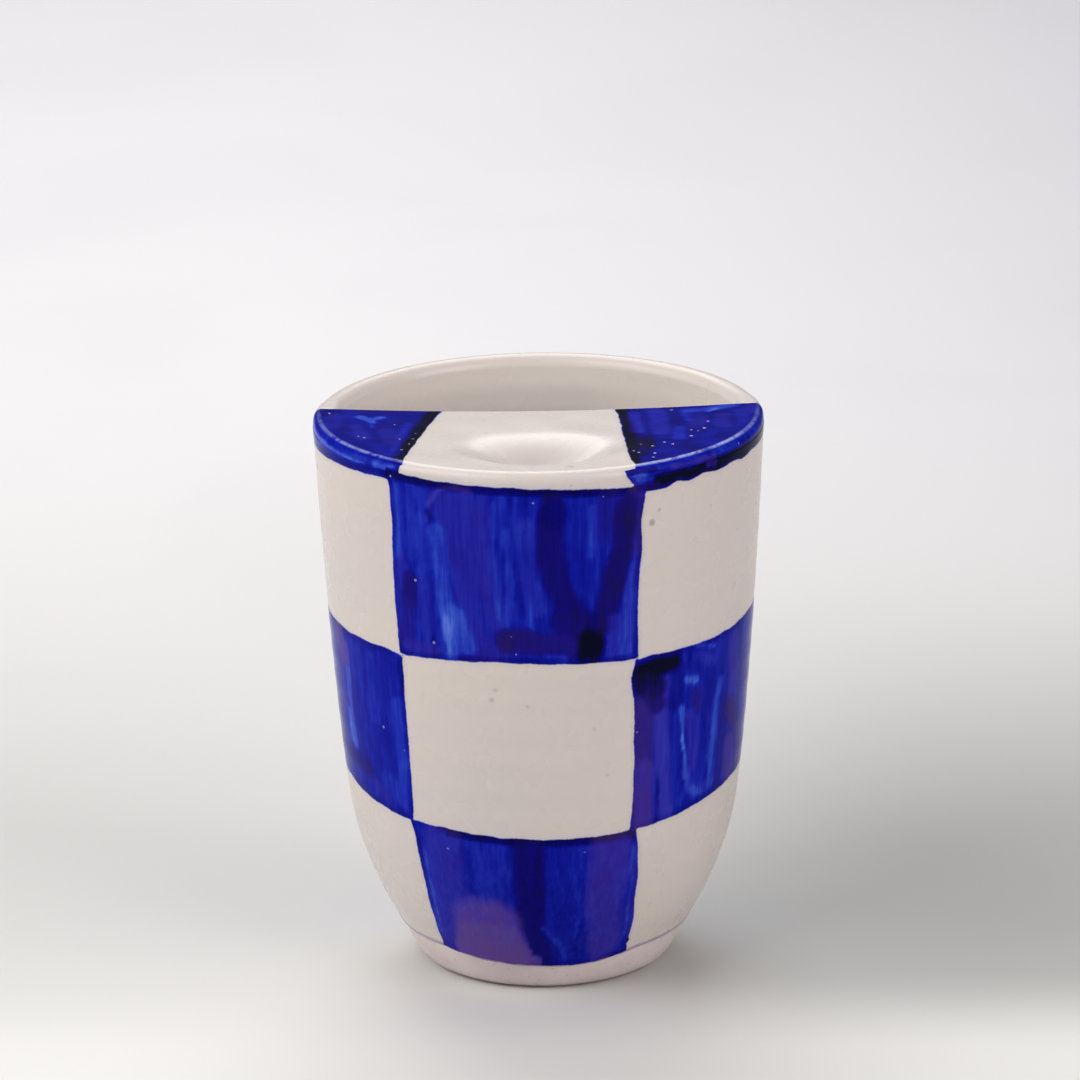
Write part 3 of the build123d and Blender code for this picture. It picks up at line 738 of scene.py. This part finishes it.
# Outside glaze: the wall profile carried round the mug, with a thin backing and a rounded lower edge
def makeWallCoat():
    turns = evenTurns(wallCoat["frontColumns"], wallCoat["backColumns"])
    low = readLine(wallCoat["glazeEnd"], (turns + 180) % 360 - 180)
    foot = [0, 0.0006, 0.0015, 0.003, 0.0045]                         # closer rows where the glaze ends
    share = np.concatenate([foot, np.linspace(0.0065, 0.9993, wallCoat["rows"]), [1],
                            np.linspace(1, 0, wallCoat["backRows"])])[:, None]
    height = low + (wallTop - low) * share
    backing = (np.arange(len(share)) >= len(share) - wallCoat["backRows"])[:, None]
    turn = turns + 0 * height
    above = height - low
    edge = np.sqrt(np.clip(1 - (1 - np.clip(above / wallCoat["glazeRound"], 0, 1))**2, 0, 1))
    paint = wallPaint(turn, height)
    coat = (glazeThick + wallCoat["paintProud"] * smooth(-0.1, 0.5, paint["inside"])) * edge
    fromBead = (above - wallCoat["beadHeight"]) / wallCoat["beadWidth"]
    coat += wallCoat["bead"] * np.exp(-fromBead**2) * edge
    radius = wallRadius(height, turn) - glazeThick + np.where(backing, 0, coat)
    paint["worn"] = 0 * height
    paint["glazeEnd"] = smooth(wallCoat["endBand"], wallCoat["endBand"] / 2, above)
    piece = gridPiece("wallCoat", roundMug(radius, height, turn), wallFinish, attributes=paint, tube=True)
    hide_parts("wall_glaze", "lower_checks", "middle_checks", "upper_checks", "rim_checks")


liner = {
    "frontColumns": 150,
    "backColumns": 170,
    "lipSteps": 22,
    "insideSteps": 96,
    "lipUnder": 2.0,            # degrees that the lip runs on under each of the deck's corners
    "stopBelow": 1.4,           # the inside glaze stops this far below the deck
    "lipSquare": 1.1,           # how much squarer the lip is where it meets the deck
    "ripple": 0.05,             # throwing rings inside
}


# Radius and height from the outer side of the lip, over its crest and down to the middle of the floor. In
# front, under the deck, the rows above startHigh are drawn together at that height
def lipAndInside(turn, inset, startHigh):
    lipHalf = mug["lipWidth"] / 2 - inset
    sweep = np.concatenate([[0, 0.006], np.linspace(0.03, 1, liner["lipSteps"])])[:, None] * np.pi
    horn = smooth(10, 2, np.abs(turn) - hornTurn)
    power = 2 / (2 + liner["lipSquare"] * horn)
    outer = readCurve(mug["profile"], np.full(1, wallTop))[0]
    crest = mugHeight - inset - wallTop - 0.06 * horn
    lipR = outer - mug["lipWidth"] / 2 + np.sign(np.cos(sweep)) * np.abs(np.cos(sweep))**power * lipHalf
    lipZ = wallTop + np.sin(sweep)**power * crest
    path = throughPoints(mug["inside"], liner["insideSteps"])[1:-1]
    down = path[:, 1:]
    ripple = liner["ripple"] * np.sin(down * 1.3 + 0.8 * np.sin(np.radians(turn)))
    wallR = path[:, :1] + inset * smooth(12, 30, down) + 0 * turn
    wallR = wallR + ripple * smooth(10, 30, down)
    wallZ = down - inset * smooth(30, 12, down) + 0 * turn
    radius = np.vstack([lipR + 0 * turn, wallR])
    height = np.vstack([lipZ + 0 * turn, wallZ])
    covered = (np.abs(turn) < hornTurn - liner["lipUnder"]) & (height > startHigh)
    stop = np.interp(startHigh, path[::-1, 1], path[::-1, 0])
    return np.where(covered, stop + inset, radius), np.where(covered, startHigh, height)


# Inside glaze over the open lip, down the wall and across the floor
def makeLiner():
    ends = hornTurn - liner["lipUnder"]
    turns = np.concatenate([np.linspace(-ends + 0.01, ends - 0.01, liner["frontColumns"]),
                            np.linspace(ends, 360 - ends, liner["backColumns"])])
    turn = (turns + 180) % 360 - 180
    low = deckUnder - liner["stopBelow"]
    radius, height = lipAndInside(turn, 0.0, low)
    backR, backZ = lipAndInside(turn, glazeThick, low)
    skin = roundMug(radius, height, turn)
    back = roundMug(backR, backZ, turn)[::-1][::6]
    points = np.concatenate([back, skin], 0)
    piece = gridPiece("linerCoat", points, linerFinish, poles=(True, True))
    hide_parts("liner_glaze")


cup = {
    "columns": 288,
    # (radius, height) of the hollow under the foot, then of the foot ring
    "recess": [(12, 1.2), (16, 1.2)],
    "foot": [(17, 1.2), (17.8, 0.5), (18.6, 0.05), (19.2, 0), (20.6, 0), (21.6, 0.12), (22.4, 0.55)],
    "insideSteps": 40,
    "lipSteps": 9,
}


# Thrown clay cup: foot, wall under its coats, floor and the hollow under the foot, as one closed skin
def makeCup():
    turns = np.linspace(-180, 180, cup["columns"], endpoint=False)
    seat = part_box("slip_joint")[0].z / mm
    up = np.concatenate([np.linspace(1.1, glazeLine + 1, 26), np.linspace(glazeLine + 3, wallTop, 26)])
    outR = readCurve(mug["profile"], up) - glazeThick
    side = np.array(cup["recess"] + cup["foot"] + list(zip(outR, up)))
    path = throughPoints(mug["inside"], cup["insideSteps"])[:-1]
    inner = np.stack([path[:, 0] + glazeThick * smooth(12, 30, path[:, 1]),
                      path[:, 1] - glazeThick * smooth(30, 12, path[:, 1])], 1)
    lip = np.linspace(0.1, 0.9, cup["lipSteps"]) * np.pi
    half = mug["lipWidth"] / 2 - glazeThick
    middle = readCurve(mug["profile"], np.full(1, wallTop))[0] - mug["lipWidth"] / 2
    crown = np.stack([middle + half * np.cos(lip), wallTop + half * np.sin(lip)], 1)
    section = np.vstack([side, crown, inner])
    radius = section[:, :1] + 0 * turns
    height = section[:, 1:] + 0 * turns
    front = (np.abs(turns) < hornTurn) & (height > seat)
    height = np.where(front, seat, height)
    points = roundMug(radius, height, turns + 0 * radius)
    piece = gridPiece("thrownCup", points, clayFinish, poles=(True, True))
    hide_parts("cup_body")


# The deck's outline in plan, counter-clockwise from the middle of the free edge, its corners eased.
# Returns the points, their outward directions and how near each is to the free edge and to a horn
def deckOutline(count, inset):
    reach = mug["rimRadius"] * math.sin(math.radians(hornTurn))
    across = np.linspace(0, -reach, 900)
    rim = np.radians(np.linspace(-hornTurn, hornTurn, 2400))
    radius = readCurve(mug["profile"], np.full(1, mugHeight - deck["rimRound"]))[0]
    line = np.vstack([np.stack([across, freeEdge(across)], 1),
                      np.stack([radius * np.sin(rim), -radius * np.cos(rim)], 1),
                      np.stack([-across[::-1], freeEdge(across[::-1])], 1)[:-1]])
    run = np.concatenate([[0], np.cumsum(np.linalg.norm(np.diff(line, axis=0), axis=1))])
    at = np.linspace(0, run[-1], 4 * count, endpoint=False)
    fine = np.stack([np.interp(at, run, line[:, i]) for i in (0, 1)], 1)
    for _ in range(deck["cornerPasses"]):
        fine = (np.roll(fine, 1, 0) + 2 * fine + np.roll(fine, -1, 0)) / 4
    ahead = np.roll(fine, -1, 0) - np.roll(fine, 1, 0)
    out = np.stack([ahead[:, 1], -ahead[:, 0]], 1) / np.linalg.norm(ahead, axis=1)[:, None]
    fine, out = fine[::4], out[::4]
    free = smooth(0.3, 0.95, out[:, 1])
    fromHorn = np.hypot(np.abs(fine[:, 0]) - reach, fine[:, 1] - deck["edgeMiddle"] - deck["bow"])
    horn = smooth(7, 1.5, fromHorn)
    return fine - out * inset, out, free, horn


# Side, rounded edge and top of the deck, row by row from the side's foot to the middle of the well. The
# height is the flat top less the well's depth; rings follow the outline outside the well and ovals in it
def deckGrid(count, inset, topRows):
    plan, out, free, horn = deckOutline(count, inset)
    top = mugHeight - inset
    roundness = deck["rimRound"] + (deck["edgeRoundFree"] - deck["rimRound"]) * free
    roundness = (roundness + (deck["hornRound"] - roundness) * horn) - inset
    foot = wallTop + (deckUnder - wallTop) * free
    rows, bend = [], []
    for share in (0, 0.04, 0.35, 0.68):
        rows.append((plan, foot + (top - roundness - foot) * share))
        bend.append(1 + 0 * free)
    for angle in np.linspace(90, 0, 13):
        lean, rise = math.sin(math.radians(angle)), math.cos(math.radians(angle))
        rows.append((plan - out * (roundness * (1 - lean))[:, None], top - roundness * (1 - rise)))
        bend.append(angle / 90 + 0 * free)
    rim = rows[-1][0]
    middle = np.array(deck["wellMiddle"])
    ray = rim - middle
    oval = ray / np.hypot(ray[:, 0] / deck["wellHalf"][0], ray[:, 1] / deck["wellHalf"][1])[:, None]
    steps = [(0, share) for share in np.linspace(0, 1, topRows // 2)[1:]]
    steps += [(1, share) for share in np.linspace(1.16, 0.03, topRows // 2)[1:]]
    for stage, share in steps:
        spot = rim + (middle + oval * 1.16 - rim) * share if stage == 0 else middle + oval * share
        fromFree, fromRim = freeEdge(spot[:, 0]) - spot[:, 1], mug["rimRadius"] - 0.2 - np.hypot(*spot.T)
        edge = smooth(1, 7, fromFree) * smooth(1, 7, fromRim)
        dip = wellSink(spot[:, 0], spot[:, 1]) + edge * 0.06 * waves(spot[:, 0], spot[:, 1], 41, 16.0)
        rows.append((spot, top - dip))
        bend.append(0 * free)
    points = np.stack([np.column_stack([spot, height]) for spot, height in rows])
    return points, np.stack(bend), free


# Glaze over the deck, its rounded edges and its well, with a thin backing
def makeDeckCoat():
    points, bend, free = deckGrid(deck["columns"], 0.0, deck["topRows"])
    backing = deckGrid(deck["columns"], glazeThick, 24)[0][::-1]
    turn = np.degrees(np.arctan2(points[..., 0], -points[..., 1]))
    thin = readLine(deck["wornLine"], turn)
    breakLine = smooth(0.03, 0.14, bend) * smooth(0.42, 0.28, bend) * (1 - free) * thin
    paint = deckPaint(points, turn, {"bend": bend * (1 - free), "edge": breakLine, "thin": thin})
    paint["glazeEnd"] = 0 * turn
    padding = {key: np.concatenate([np.zeros(backing.shape[:2]), value]) for key, value in paint.items()}
    piece = gridPiece("deckCoat", np.concatenate([backing, points]), deckFinish, attributes=padding,
                      poles=(True, True))
    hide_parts("deck_glaze", "deck_checks")


slab = {
    "columns": 300,
    "topRows": 40,
    "bulge": 4.2,               # how far the pressed well stands out below
    "bulgeHalf": (17.0, 14.0),  # its half width and half length
}


# Clay of the deck under its glaze, with the bulge that the pressed well leaves below
def makeDeckSlab():
    points = deckGrid(slab["columns"], glazeThick, slab["topRows"])[0]
    points[0, :, 2] = deckUnder
    points[1, :, 2] = np.maximum(points[1, :, 2], deckUnder + 0.2)
    middle = np.array(deck["wellMiddle"])
    rim = points[0, :, :2]
    under = []
    for share in np.linspace(0.02, 1, 24)[:-1]:
        spot = middle + (rim - middle) * share
        bulge = 1 - (((spot - middle) / slab["bulgeHalf"])**2).sum(1)
        under.append(np.column_stack([spot, deckUnder - slab["bulge"] * np.logaddexp(0, bulge * 6) / 6]))
    piece = gridPiece("deckSlab", np.concatenate([np.stack(under), points]), clayFinish, poles=(True, True))
    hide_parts("deck_slab")


makeWallCoat()
print("outside glaze made")
makeLiner()
print("inside glaze made")
makeCup()
print("cup made")
makeDeckCoat()
print("deck glaze made")
makeDeckSlab()
print("deck clay made")
for name in ("slip_joint", "joint_coil"):
    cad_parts[name].data.materials.clear()
    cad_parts[name].data.materials.append(clayFinish)
print("slip and coil finished")

studio = {
    "floor": (0.67, 0.67, 0.65),
    # floor tones: a painted shadow right of the mug, painted shade far behind on the right, and painted light
    # in front
    "floorShadowRight": (0.42, 0.425, 0.41),
    "floorBack": (0.85, 0.84, 0.86),
    "floorBackShade": (0.56, 0.55, 0.605),
    "floorFrontLight": (0.80, 0.80, 0.77),
    "floorCloud": (0.4, 0.4, 0.42),
    "floorReach": 4.0,
    "air": (0.79, 0.775, 0.80),
    "airStrength": 0.18,
    # name: (place, aim, size, power, colour)
    "lights": {"keyLight": ((-0.75, -0.55, 1.0), (0, 0, 0.05), 0.9, 8.5, (1, 0.975, 0.95)),
               "leftLight": ((-1.1, -0.1, 0.5), (0, 0, 0.05), 0.9, 5.2, (1, 0.955, 0.92)),
               "rightLight": ((0.95, -0.7, 0.65), (0, 0, 0.05), 0.9, 9.6, (1, 0.94, 0.93)),
               "backLight": ((-0.1, 0.8, 1.1), (0, 0, 0.05), 1.0, 9.4, (1, 1, 1)),
               "farLight": ((-0.1, 1.3, 1.3), (0, 0.9, 0), 1.0, 1.7, (1, 1, 1))},
}


# Pale stone floor: a painted shadow to the right of the mug, painted light in front of it, and brighter and
# cooler far behind it, with painted shade towards the right
def floorFinish():
    sheet = Sheet("floorStone")
    where = sheet.place()
    across = sheet.node("SeparateXYZ", {}, {0: where}, out=0)
    depth = sheet.node("SeparateXYZ", {}, {0: where}, out=1)
    # painted shadow to the right of the mug, fading out far behind it
    right = sheet.between(across, -0.035, 0.09) * sheet.between(depth, 0.06, 0.28, 1.0, 0.0)
    tone = sheet.blend(right, studio["floor"], studio["floorShadowRight"])
    # painted light: lighter in front of the mug
    tone = sheet.blend(sheet.between(depth, -0.06, -0.015, 0.85, 0.0), tone, studio["floorFrontLight"])
    # far behind: a brighter, cooler floor, with painted shade towards the right
    back = sheet.blend(sheet.between(across, -0.1, 0.45), studio["floorBack"], studio["floorBackShade"])
    tone = sheet.blend(sheet.between(depth, 0.02, 0.45), tone, back)
    cloud = sheet.between(sheet.noise(where, 7.0, 3.0, 0.5, 0.8), 0.4, 0.75) * 0.06
    tone = sheet.blend(cloud, tone, studio["floorCloud"])
    return sheet.finish(sheet.surface(colour=tone, roughness=0.6))


# A flat square under the mug
def makeFloor():
    reach = studio["floorReach"]
    corners = [(-reach, -reach, 0), (reach, -reach, 0), (reach, reach, 0), (-reach, reach, 0)]
    mesh = bpy.data.meshes.new("floor")
    mesh.from_pydata(corners, [], [(0, 1, 2, 3)])
    mesh.materials.append(floorFinish())
    floor = bpy.data.objects.new("floor", mesh)
    bpy.context.scene.collection.objects.link(floor)


# A square light, turned to face its aim
def makeLight(name, place, aim, size, power, colour):
    lamp = bpy.data.lights.new(name, "AREA")
    lamp.size = size
    lamp.energy = power
    lamp.color = colour
    light = bpy.data.objects.new(name, lamp)
    light.location = place
    light.rotation_euler = (Vector(aim) - Vector(place)).to_track_quat("-Z", "Y").to_euler()
    bpy.context.scene.collection.objects.link(light)


makeFloor()
print("floor made")
for name, values in studio["lights"].items():
    makeLight(name, *values)
world = bpy.data.worlds.new("studioAir")
world.use_nodes = True
world.node_tree.nodes["Background"].inputs["Color"].default_value = (*studio["air"], 1)
world.node_tree.nodes["Background"].inputs["Strength"].default_value = studio["airStrength"]
bpy.context.scene.world = world
bpy.context.scene.view_settings.view_transform = "Standard"
print("lights and air made")

view = {
    "distance": 1.4,
    "elevation": 18.07,         # of the line from the camera to the mug's middle
    "lens": 248.5,
    "dropInFrame": 1.087,       # the mug's middle sits this many degrees below the frame's middle
    "roll": 0.8,
}


# Camera in front, raised by its elevation, tilted so that the mug sits low in the frame, and rolled
def makeCamera():
    lens = bpy.data.cameras.new("camera")
    lens.lens = view["lens"]
    lens.sensor_width = 36
    lens.clip_end = 50
    camera = bpy.data.objects.new("camera", lens)
    rise = math.radians(view["elevation"])
    middle = Vector((0, 0, mugHeight / 2 * mm))
    camera.location = Vector((0, -math.cos(rise), math.sin(rise))) * view["distance"] + middle
    pitch = math.radians(90 - view["elevation"] + view["dropInFrame"])
    turned = Matrix.Rotation(pitch, 4, "X") @ Matrix.Rotation(math.radians(-view["roll"]), 4, "Z")
    camera.rotation_euler = turned.to_euler()
    bpy.context.scene.collection.objects.link(camera)
    bpy.context.scene.camera = camera


makeCamera()
print("camera set")
